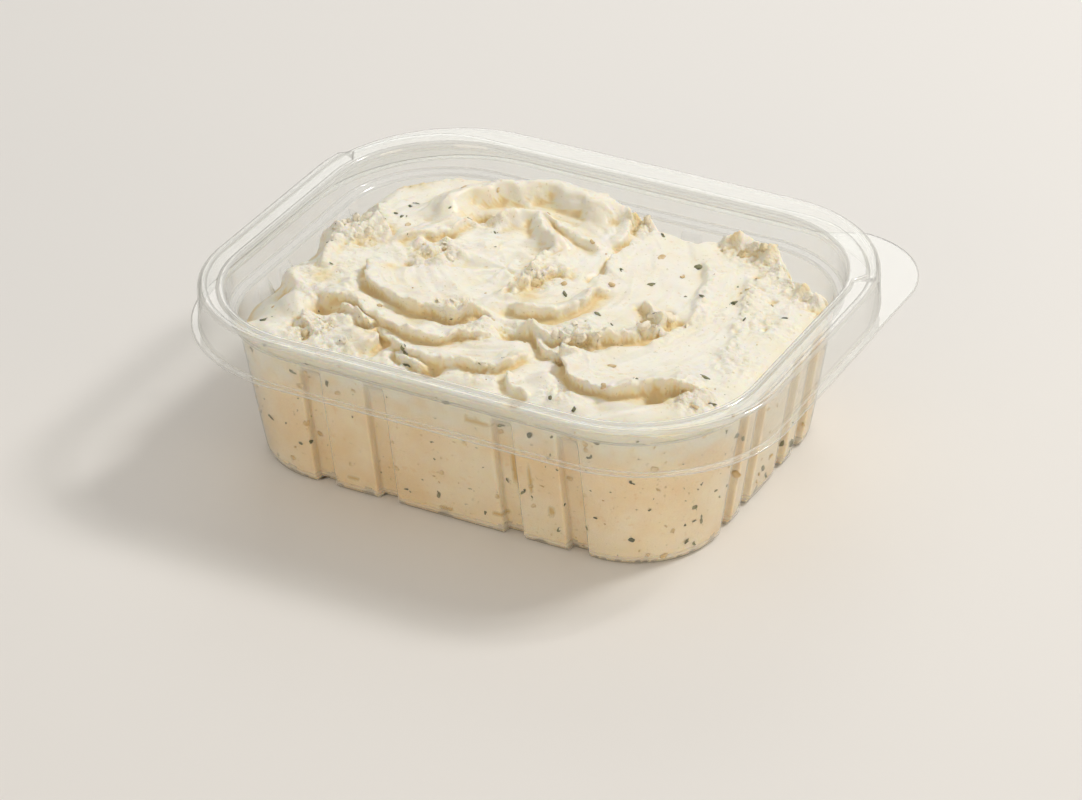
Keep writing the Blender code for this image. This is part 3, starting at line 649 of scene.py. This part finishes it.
def side_faults(x, y, angle, z):
    """Voids between the cheese and the wall, 0 to 1, and how far its ragged lower edge stays back."""
    place = np.column_stack([np.full(len(z), x), np.full(len(z), y + 200.0 * angle), z])
    grain = clods(place, SIDE_GRAIN)
    void = 0.6 * smooth(0.62, 0.95, gradient_noise(place / (3.2, 3.2, 2.6), 73) + 0.3 * grain)
    if math.sin(angle) < -0.95:
        for along, height, half_x, half_z in VOIDS:
            away = np.hypot((x - along) / half_x, (z - height) / half_z) + 0.28 * grain
            void = np.maximum(void, smooth(1.15, 0.6, away))
    low = smooth(3.4 + 2.4 * grain, 0.6, z)
    return void, low * smooth(0.05, 0.45, gradient_noise(place / (5.0, 5.0, 9.0), 74))


def cream_sides(ring, core, normals):
    """Lines of points up the cheese's side at each station, their voids, which also set painted golden shade,
    and how pale the cheese is there.
    """
    tops, _, _ = cream_surface(core + normals * CREAM_REACH)
    tops = np.minimum(tops, TOP_LIMIT)
    low = np.minimum(np.minimum(np.roll(tops, 1), np.roll(tops, -1)), tops)
    foot = SHEET - INTO_WALL
    sides, voids, pale = [], [], []
    for i, (x, y, angle, press) in enumerate(ring):
        z = foot + (tops[i] - SHEET + INTO_WALL) * np.linspace(0.0, 1.0, SIDE_RINGS) ** 0.95
        r = wall_radius(z - SHEET) - SHEET + INTO_WALL
        r = np.where(z < BASE_EDGE, BASE_RADIUS - SHEET + INTO_WALL - (BASE_EDGE - z) * 0.8, r)
        if low[i] < SEAT_Z + 2.0:
            r = np.minimum(r, wall_radius(SEAT_Z) - SHEET + INTO_WALL)
        r = r - flute_share(z) * press
        edge = smooth(0.0, 1.2, tops[i] - z)
        void, low_edge = side_faults(x, y, angle, z)
        r = r - (VOID_DEPTH * void + LOW_EDGE_DEPTH * low_edge) * edge
        sides.append(np.column_stack([core[i] + normals[i] * r[:, None], z]))
        voids.append(np.maximum(void, 0.8 * low_edge) * edge)
        place = np.column_stack([sides[-1][:, :2] / 5.0, z / 4.0])
        pale.append(smooth(*PALE_BAND, z + 6.0 * gradient_noise(place, 75)))
    return np.array(sides), np.concatenate(voids), np.concatenate(pale)


def top_places(core, normals, rim):
    """Places in plan on a close grid of triangles, inside the cheese's top edge."""
    rows = []
    for row, y in enumerate(np.arange(-CORE_Y - CREAM_REACH, CORE_Y + CREAM_REACH, TOP_GRID * ROW_SHARE)):
        start = -CORE_X - CREAM_REACH + (row % 2) * TOP_GRID / 2
        xs = np.arange(start, CORE_X + CREAM_REACH, TOP_GRID)
        rows.append(np.column_stack([xs, np.full(len(xs), y)]))
    places = np.concatenate(rows)
    places = places[inset_from_wall(places) > 0.5]
    return places[inside_edge(places, core, normals, rim)]


def inside_edge(places, core, normals, rim):
    """True where a place lies inside the cheese's top edge, by a clear margin."""
    margin = 0.3
    away = places - np.sign(places) * np.minimum(np.abs(places), (CORE_X, CORE_Y))
    reach = np.hypot(away[:, 0], away[:, 1])
    edge_reach = np.einsum("ij,ij->i", rim - core, normals)
    near = np.empty(len(places), int)
    block_size = 4000
    for start in range(0, len(places), block_size):
        block = places[start:start + block_size]
        near[start:start + block_size] = np.argmin(((block[:, None] - rim[None]) ** 2).sum(2), axis=1)
    nearest = np.hypot(*(places - rim[near]).T)
    return (reach < edge_reach[near] - margin) & (nearest > margin)


def cream_faces(count, rim, places, middle):
    """Faces of the cheese: its top between the edge and the places, its sides, and a fan underneath."""
    flat = delaunay_2d_cdt([Vector(p) for p in rim] + [Vector(p) for p in places], [],
                           [list(range(count))], 1, 1e-6)
    source = [ids[0] if ids else -1 for ids in flat[3]]
    last_ring = SIDE_RINGS - 1
    lookup = [s * SIDE_RINGS + last_ring if s < count else count * SIDE_RINGS + s - count for s in source]
    faces = [tuple(lookup[i] for i in face) for face in flat[2]]
    for i in range(count):
        a, b = i * SIDE_RINGS, (i + 1) % count * SIDE_RINGS
        for j in range(last_ring):
            faces.append((a + j, b + j, b + j + 1, a + j + 1))
        faces.append((a, middle, b))
    return faces


def cream_marks(places, height, torn, voids, pale):
    """Shares that say where the cheese lies deep and gets painted golden shade, is torn, or is pressed to the
    tub, with a warm tint that is partly painted bounce light, and where its toppings lie.
    """
    first = len(voids)
    last = first + len(places)
    marks = {name: np.zeros(last + 1) for name in ("deep", "torn", "pressed", "herb", "garlic", "crumb")}
    # Painted golden shade in the listed patches, joined to the deep share
    golden = np.zeros(len(places))
    for px, py, radius, share in PAINTED_SHADE_PATCHES:
        golden = np.maximum(golden, share * hump(places, px, py, radius))
    golden = golden * (1.0 + 0.5 * wobble(places, 2.4, 84))
    # Painted golden shade over the side's voids and ragged lower edge
    marks["deep"][:first] = voids
    # Painted golden shade on the top, from its hollows and the listed patches
    marks["deep"][first:last] = np.maximum(hollowness(places, height), golden)
    marks["torn"][:] = 0.3
    marks["torn"][first:last] = torn

    up = np.linspace(0.0, 1.0, SIDE_RINGS)
    count = first // SIDE_RINGS
    # The side pressed to the tub gets a warm tint: partly the cheese's own tone, partly painted warm bounce
    # light
    marks["pressed"][:first] = np.tile(smooth(1.0, 0.9, up), count) * (1.0 - pale)
    marks["herb"][:first] = np.tile(SIDE_HERB * smooth(0.0, 0.05, up), count)
    marks["garlic"][:first] = np.tile(SIDE_GARLIC * smooth(0.0, 0.05, up), count)
    inside = smooth(1.5, 4.0, inset_from_wall(places))
    near = sum(hump(places, px, py, HERB_NEAR) for px, py in HERB_PLACES)
    marks["herb"][first:last] = inside * (0.5 + 0.5 * wobble(places, 11.0, 81) + HERB_CLUSTER * near)
    marks["garlic"][first:last] = inside * (0.6 + 0.6 * wobble(places, 9.0, 82))
    marks["crumb"][first:last] = inside * smooth(0.45, 1.1, torn) * (0.6 + 0.8 * wobble(places, 3.0, 83))
    for values in marks.values():
        np.maximum(values, 0.0, out=values)
    return marks


def cream_mesh():
    """The cheese: sides that reach just into the sheet, underside and swirled top."""
    ring = stations()
    core = np.array([(s[0], s[1]) for s in ring])
    normals = np.array([(math.cos(s[2]), math.sin(s[2])) for s in ring])
    sides, voids, pale = cream_sides(ring, core, normals)
    rim = sides[:, -1, :2]
    places = top_places(core, normals, rim)
    height, lean, torn = cream_surface(places)
    leant = places + lean * smooth(0.5, 5.0, inset_from_wall(places))[:, None]
    underside = [(0.0, 0.0, sides[0, 0, 2])]
    verts = np.concatenate([sides.reshape(-1, 3), np.column_stack([leant, height]), underside])
    faces = cream_faces(len(ring), rim, places, len(verts) - 1)
    return verts, faces, cream_marks(places, height, torn, voids, pale)


def hollowness(places, height):
    """How deep each place lies below its surroundings, 0 to 1, as the share of painted golden shade there."""
    cell = 0.6
    border = 8 * cell
    low = places.min(0) - border
    cols, rows = np.ceil((places.max(0) + border - low) / cell).astype(int) + 1
    index = np.round((places - low) / cell).astype(int)
    total, hits = np.zeros((cols, rows)), np.zeros((cols, rows))
    np.add.at(total, (index[:, 0], index[:, 1]), height)
    np.add.at(hits, (index[:, 0], index[:, 1]), 1.0)

    def blur(field, size):
        reach = int(3 * size / cell)
        taps = np.exp(-0.5 * (np.arange(-reach, reach + 1) * cell / size) ** 2)
        taps /= taps.sum()
        field = np.apply_along_axis(lambda v: np.convolve(v, taps, "same"), 0, field)
        return np.apply_along_axis(lambda v: np.convolve(v, taps, "same"), 1, field)

    depth = np.zeros(len(places))
    for size, scale in DEPTH_SIZES:
        around = blur(total, size) / np.maximum(blur(hits, size), 1e-6)
        depth = depth + np.clip((around[index[:, 0], index[:, 1]] - height) / scale, 0.0, 1.5)
    return np.clip((depth - DEPTH_LEAST) / DEPTH_FULL, 0.0, DEPTH_MOST)


def add_object(name, data):
    """Puts a mesh, lamp or camera into the scene."""
    made = bpy.data.objects.new(name, data)
    bpy.context.scene.collection.objects.link(made)
    return made


def add_piece(name, verts, faces, material):
    """Makes a mesh piece from points in millimetres."""
    data = bpy.data.meshes.new(name)
    data.from_pydata((np.asarray(verts) * MM).tolist(), [], faces)
    data.validate()
    shell = bmesh.new()
    shell.from_mesh(data)
    bmesh.ops.recalc_face_normals(shell, faces=shell.faces[:])
    shell.to_mesh(data)
    shell.free()
    data.shade_smooth()
    data.materials.append(material)
    piece = add_object(name, data)
    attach(piece, "root")
    return piece


def add_attribute(piece, name, values):
    """Stores one number for each vertex."""
    layer = piece.data.attributes.new(name, "FLOAT", "POINT")
    layer.data.foreach_set("value", np.asarray(values, np.float32))


def new_material(name):
    """An empty node material with its shader and output."""
    material = bpy.data.materials.new(name)
    material.use_nodes = True
    tree = material.node_tree
    return material, tree, tree.nodes["Principled BSDF"], tree.nodes["Material Output"]


def add_node(tree, kind, inputs=None, **settings):
    """Adds a node with its settings and inputs."""
    node = tree.nodes.new(kind)
    for name, value in settings.items():
        setattr(node, name, value)
    return set_inputs(tree, node, inputs or {})


def set_inputs(tree, node, inputs):
    """Gives each input of a node a plain value, a colour or the output of another node."""
    for name, value in inputs.items():
        socket = node.inputs[name]
        if isinstance(value, bpy.types.NodeSocket):
            tree.links.new(value, socket)
        elif socket.type == "RGBA":
            socket.default_value = (*value, 1)
        else:
            socket.default_value = value
    return node


def add_step(tree, kind, output, inputs=None, **settings):
    """Adds a node and gives one of its outputs."""
    return add_node(tree, kind, inputs, **settings).outputs[output]


def add_ramp(tree, share, *stops):
    """Colours along a share, each stop with its place and colour."""
    ramp = add_node(tree, "ShaderNodeValToRGB", {"Fac": share})
    elements = ramp.color_ramp.elements
    for element, (place, colour) in zip(elements, (stops[0], stops[-1])):
        element.position = place
        element.color = (*colour, 1)
    for place, colour in stops[1:-1]:
        elements.new(place).color = (*colour, 1)
    return ramp.outputs["Color"]


def object_place(tree):
    """The place on the piece itself, which a pattern follows."""
    return add_step(tree, "ShaderNodeTexCoord", "Object")


def cheese_material(name, subsurface, pale):
    """Moist off-white cheese with painted golden shade where it lies deep, a warm tint where it is pressed to
    the tub that is partly painted bounce light, and fine grain.
    """
    material, tree, shader, _ = new_material(name)
    step = partial(add_step, tree)
    place = object_place(tree)

    def mark(attribute):
        return step("ShaderNodeAttribute", "Fac", attribute_name=attribute)

    def noise(scale, detail=3.0):
        return step("ShaderNodeTexNoise", "Fac", {"Vector": place, "Scale": scale, "Detail": detail})

    def span(value, low, high, to_low=0.0, to_high=1.0):
        inputs = {"Value": value, "From Min": low, "From Max": high, "To Min": to_low, "To Max": to_high}
        return step("ShaderNodeMapRange", "Result", inputs)

    def blend(share, under, over, kind="MIX"):
        inputs = {"Factor": share, "A": under, "B": over}
        return step("ShaderNodeMix", "Result", inputs, data_type="RGBA", blend_type=kind)

    # Painted golden shade: hollows, pits and lip undersides turn golden as if in shadow
    cream_painted_shade = add_ramp(tree, mark("deep"), (0.0, pale), (0.38, (0.87, 0.765, 0.52)), (0.9, (0.75, 0.52, 0.20)))
    # Warm tint of the cheese pressed to the tub: partly its own mottled tone, partly painted warm bounce
    # light
    wall = blend(span(noise(45.0), 0.40, 0.62), (0.86, 0.685, 0.445), (0.90, 0.79, 0.60))
    # Painted golden shade over the side's voids and ragged lower edge
    wall = blend(mark("deep"), wall, cream_painted_shade)
    colour = blend(mark("pressed"), cream_painted_shade, wall)
    colour = blend(span(noise(110.0), 0.44, 0.70), colour, (0.99, 0.965, 0.90), "MULTIPLY")
    colour = blend(span(noise(520.0), 0.64, 0.70, 0.0, 0.4), colour, (0.90, 0.76, 0.56), "MULTIPLY")
    colour = blend(span(noise(900.0, 1.0), 0.70, 0.74, 0.0, 0.45), colour, (0.62, 0.60, 0.45), "MULTIPLY")
    torn = mark("torn")
    grain = {"Distance": 0.0008, "Strength": span(torn, 0.0, 1.0, 0.1, 1.0), "Height": noise(1000.0, 4.0)}
    set_inputs(tree, shader, {
        "Base Color": colour, "Normal": step("ShaderNodeBump", "Normal", grain), "IOR": 1.42,
        "Specular IOR Level": 0.5, "Roughness": span(torn, 0.0, 1.0, 0.33, 0.66),
        "Subsurface Weight": subsurface, "Subsurface Scale": 0.0006, "Subsurface Radius": (1.0, 0.80, 0.45)})
    return material


def plastic_material():
    """Clear thin sheet: see-through, milky in its folds and at grazing views, with mirror gloss."""
    material, tree, shader, output = new_material("clear_plastic")
    step = partial(add_step, tree)

    def mixed(share, under, over):
        return step("ShaderNodeMixShader", "Shader", {"Fac": share, 1: under, 2: over})

    ripple = step("ShaderNodeTexNoise", "Fac", {"Vector": object_place(tree), "Scale": 120.0, "Detail": 2.0})
    ripples = step("ShaderNodeBump", "Normal", {"Strength": 0.12, "Distance": 0.0005, "Height": ripple})
    facing = step("ShaderNodeLayerWeight", "Facing", {"Blend": 0.25})
    tint = add_ramp(tree, facing, (0.35, (0.98, 0.985, 0.98)), (0.95, (0.72, 0.72, 0.70)))
    clear = step("ShaderNodeBsdfTransparent", "BSDF", {"Color": tint})
    set_inputs(tree, shader, {"Base Color": (0.90, 0.91, 0.90), "Roughness": 0.3})
    glow = step("ShaderNodeBsdfTranslucent", "BSDF", {"Color": (0.95, 0.95, 0.94)})
    milk = mixed(0.5, shader.outputs["BSDF"], glow)
    haze = step("ShaderNodeMapRange", "Result", {"To Min": 0.02, "To Max": 0.22, "Value": facing})
    folded = step("ShaderNodeAttribute", "Fac", attribute_name="fold")
    whitened = step("ShaderNodeMath", "Value", {0: folded, 1: 0.38, 2: haze},
                    operation="MULTIPLY_ADD", use_clamp=True)
    body = mixed(whitened, clear, milk)

    mirror = step("ShaderNodeBsdfAnisotropic", "BSDF", {"Roughness": 0.05, "Normal": ripples})
    fresnel = step("ShaderNodeFresnel", "Fac", {"IOR": 1.58, "Normal": ripples})
    behind = step("ShaderNodeNewGeometry", "Backfacing")
    front = step("ShaderNodeMath", "Value", {0: 1.0, 1: behind}, operation="SUBTRACT")
    gloss = step("ShaderNodeMath", "Value", {0: fresnel, 1: front}, operation="MULTIPLY")
    tree.links.new(mixed(gloss, body, mirror), output.inputs["Surface"])
    return material


def speck_material(name, dark, light, roughness):
    """A speck whose colour varies from piece to piece."""
    material, tree, shader, _ = new_material(name)
    noise = add_step(tree, "ShaderNodeTexNoise", "Fac", {"Vector": object_place(tree), "Scale": 420.0})
    tint = add_ramp(tree, noise, (0.35, dark), (0.65, light))
    set_inputs(tree, shader, {"Base Color": tint, "Roughness": roughness})
    return material


def scatter_tree():
    """Geometry Nodes that set small bits on a surface, where a named share is high, and roughen them."""
    tree = bpy.data.node_groups.new("scattered_bits", "GeometryNodeTree")
    tree.is_modifier = True
    for name, kind in (("Geometry", "Geometry"), ("Where", "String"), ("Per Square Metre", "Float"),
                       ("Size", "Vector"), ("Smallest", "Float"), ("Tilt", "Float"), ("Lift", "Float"),
                       ("Unevenness", "Float"), ("Detail", "Int"), ("Seed", "Int"), ("Material", "Material")):
        tree.interface.new_socket(name, in_out="INPUT", socket_type="NodeSocket" + kind)
    tree.interface.new_socket("Geometry", in_out="OUTPUT", socket_type="NodeSocketGeometry")
    given = add_node(tree, "NodeGroupInput").outputs
    step = partial(add_step, tree)

    def scaled(vector, factor):
        return step("ShaderNodeVectorMath", "Vector", {0: vector, "Scale": factor}, operation="SCALE")

    share = step("GeometryNodeInputNamedAttribute", "Attribute", {"Name": given["Where"]})
    density = step("ShaderNodeMath", "Value", {0: share, 1: given["Per Square Metre"]}, operation="MULTIPLY")
    spread = add_node(tree, "GeometryNodeDistributePointsOnFaces",
                      {"Mesh": given["Geometry"], "Density": density, "Seed": given["Seed"]}).outputs
    up = scaled(spread["Normal"], given["Lift"])
    lifted = step("GeometryNodeSetPosition", "Geometry", {"Geometry": spread["Points"], "Offset": up})
    bit = step("GeometryNodeMeshIcoSphere", "Mesh", {"Subdivisions": given["Detail"]})

    tilt = given["Tilt"]
    down = step("ShaderNodeMath", "Value", {0: tilt, 1: -1.0}, operation="MULTIPLY")
    least = step("ShaderNodeCombineXYZ", "Vector", {"X": down, "Y": down})
    most = step("ShaderNodeCombineXYZ", "Vector", {"X": tilt, "Y": tilt, "Z": 2 * math.pi})
    spin = step("FunctionNodeRandomValue", "Value", {"Min": least, "Max": most, "Seed": given["Seed"]},
                data_type="FLOAT_VECTOR")
    turn = step("FunctionNodeEulerToRotation", "Rotation", {"Euler": spin})
    turned = step("FunctionNodeRotateRotation", "Rotation",
                  {"Rotation": spread["Rotation"], "Rotate By": turn}, rotation_space="LOCAL")

    chance = step("FunctionNodeRandomValue", "Value", {"Seed": given["Seed"]})
    few_large = step("ShaderNodeMath", "Value", {0: chance, 1: 2.6}, operation="POWER")
    part = step("ShaderNodeMapRange", "Result", {"Value": few_large, "To Min": given["Smallest"]})
    shape = step("FunctionNodeRandomValue", "Value", {"Min": (0.6, 0.6, 0.8), "Max": (1.4, 1.3, 1.2)},
                 data_type="FLOAT_VECTOR")
    size = step("ShaderNodeVectorMath", "Vector", {0: scaled(given["Size"], part), 1: shape},
                operation="MULTIPLY")
    placed = step("GeometryNodeInstanceOnPoints", "Instances",
                  {"Points": lifted, "Instance": bit, "Rotation": turned, "Scale": size})
    real = step("GeometryNodeRealizeInstances", "Geometry", {"Geometry": placed})

    place = step("GeometryNodeInputPosition", "Position")
    dents = step("ShaderNodeTexNoise", "Color", {"Scale": 900.0, "Detail": 1.0, "Vector": place})
    centred = step("ShaderNodeVectorMath", "Vector", {0: dents, 1: (0.5, 0.5, 0.5)}, operation="SUBTRACT")
    push = scaled(centred, given["Unevenness"])
    uneven = step("GeometryNodeSetPosition", "Geometry", {"Geometry": real, "Offset": push})
    finish = step("GeometryNodeSetMaterial", "Geometry", {"Geometry": uneven, "Material": given["Material"]})
    add_node(tree, "NodeGroupOutput", {"Geometry": finish})
    return tree


def scatter(name, host, tree, slot, **values):
    """Bits on the host's surface as a plain mesh. Names in values stand for the tree's inputs."""
    piece = add_object(name, host.data.copy())
    modifier = piece.modifiers.new("bits", "NODES")
    modifier.node_group = tree
    sockets = {item.name: item.identifier for item in tree.interface.items_tree if item.in_out == "INPUT"}
    for key, value in values.items():
        modifier[sockets[key.replace("_", " ").title()]] = value
    piece.update_tag()
    bpy.context.view_layer.update()
    shown = piece.evaluated_get(bpy.context.evaluated_depsgraph_get())
    made = bpy.data.meshes.new_from_object(shown)
    piece.modifiers.clear()
    piece.data = made
    made.materials.clear()
    made.materials.append(values["material"])
    made.shade_smooth()
    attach(piece, "root")
    return piece


def set_camera():
    """The photograph's camera."""
    data = bpy.data.cameras.new("camera")
    data.sensor_width = SENSOR
    data.sensor_fit = "HORIZONTAL"
    data.lens = FOCAL_PIXELS / IMAGE[0] * SENSOR
    data.clip_start = 0.01
    camera = add_object("camera", data)
    back = Vector((math.sin(AZIMUTH) * math.cos(ELEVATION), -math.cos(AZIMUTH) * math.cos(ELEVATION),
                   math.sin(ELEVATION)))
    right = (-back).cross(Vector((0, 0, 1))).normalized()
    up = right.cross(-back)
    turned_right = math.cos(ROLL) * right + math.sin(ROLL) * up
    turned_up = -math.sin(ROLL) * right + math.cos(ROLL) * up
    pose = Matrix((turned_right, turned_up, back)).transposed().to_4x4()
    pose.translation = TARGET + back * DISTANCE
    camera.matrix_world = pose
    bpy.context.scene.camera = camera


def set_light():
    """A key lamp from behind on the right, a window that the rim mirrors, weak fills and a pale surround."""
    for name, (place, size, power, colour) in LAMPS.items():
        data = bpy.data.lights.new(name, "AREA")
        data.size = size
        data.energy = power
        data.color = colour
        lamp = add_object(name, data)
        lamp.location = place
        lamp.rotation_euler = (LAMP_AIM - Vector(place)).to_track_quat("-Z", "Y").to_euler()
    world = bpy.data.worlds.new("world")
    bpy.context.scene.world = world
    world.use_nodes = True
    tree = world.node_tree
    direction = add_step(tree, "ShaderNodeTexCoord", "Generated")
    height = add_step(tree, "ShaderNodeSeparateXYZ", "Z", {"Vector": direction})
    sky = add_ramp(tree, height, (0.15, (0.42, 0.41, 0.40)), (0.8, (1.0, 0.99, 0.97)))
    set_inputs(tree, tree.nodes["Background"], {"Color": sky, "Strength": SURROUND})


def set_floor():
    """The plain pale floor."""
    data = bpy.data.meshes.new("floor")
    corners = [(x * FLOOR_HALF, y * FLOOR_HALF, 0) for x, y in ((-1, -1), (1, -1), (1, 1), (-1, 1))]
    data.from_pydata(corners, [], [(0, 1, 2, 3)])
    material, tree, shader, _ = new_material("floor")
    set_inputs(tree, shader, {"Base Color": (0.80, 0.78, 0.75), "Roughness": 0.8})
    data.materials.append(material)
    add_object("floor", data)


set_camera()
set_light()
set_floor()
scene = bpy.context.scene
scene.view_settings.view_transform = "Standard"
scene.cycles.max_bounces = BOUNCES
scene.cycles.transmission_bounces = THROUGH_BOUNCES
scene.cycles.transparent_max_bounces = CLEAR_BOUNCES
scene.cycles.caustics_reflective = True
scene.cycles.caustics_refractive = True

verts, faces, marks = cream_mesh()
cream = cheese_material("cream", 1.0, (0.88, 0.845, 0.74))
cheese = add_piece("cheese", verts, faces, cream)
for mark, values in marks.items():
    add_attribute(cheese, mark, values)
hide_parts("cream_cheese")

bits = scatter_tree()
scatter("herb_flakes", cheese, bits, "cream", where="herb", per_square_metre=4600.0,
        size=(0.0016, 0.0009, 0.0002), smallest=0.2, tilt=0.3, lift=0.00004, unevenness=0.0011, detail=2,
        seed=7, material=speck_material("herb_green", (0.085, 0.09, 0.04), (0.30, 0.285, 0.15), 0.6))
scatter("garlic_bits", cheese, bits, "cream", where="garlic", per_square_metre=4200.0,
        size=(0.0014, 0.0011, 0.0005), smallest=0.25, tilt=0.5, lift=-0.00008, unevenness=0.0012, detail=2,
        seed=11, material=speck_material("garlic_tan", (0.60, 0.42, 0.20), (0.80, 0.66, 0.42), 0.5))
scatter("crumbs", cheese, bits, "cream", where="crumb", per_square_metre=110000.0,
        size=(0.0022, 0.0018, 0.0013), smallest=0.22, tilt=0.9, lift=-0.0001, unevenness=0.0027, detail=2,
        seed=23, material=cheese_material("cream_crumb", 0.0, (0.97, 0.90, 0.75)))

verts, faces, folds = tub_mesh()
clear_tub = add_piece("clear_tub", verts, faces, plastic_material())
add_attribute(clear_tub, "fold", folds)
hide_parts("tub")
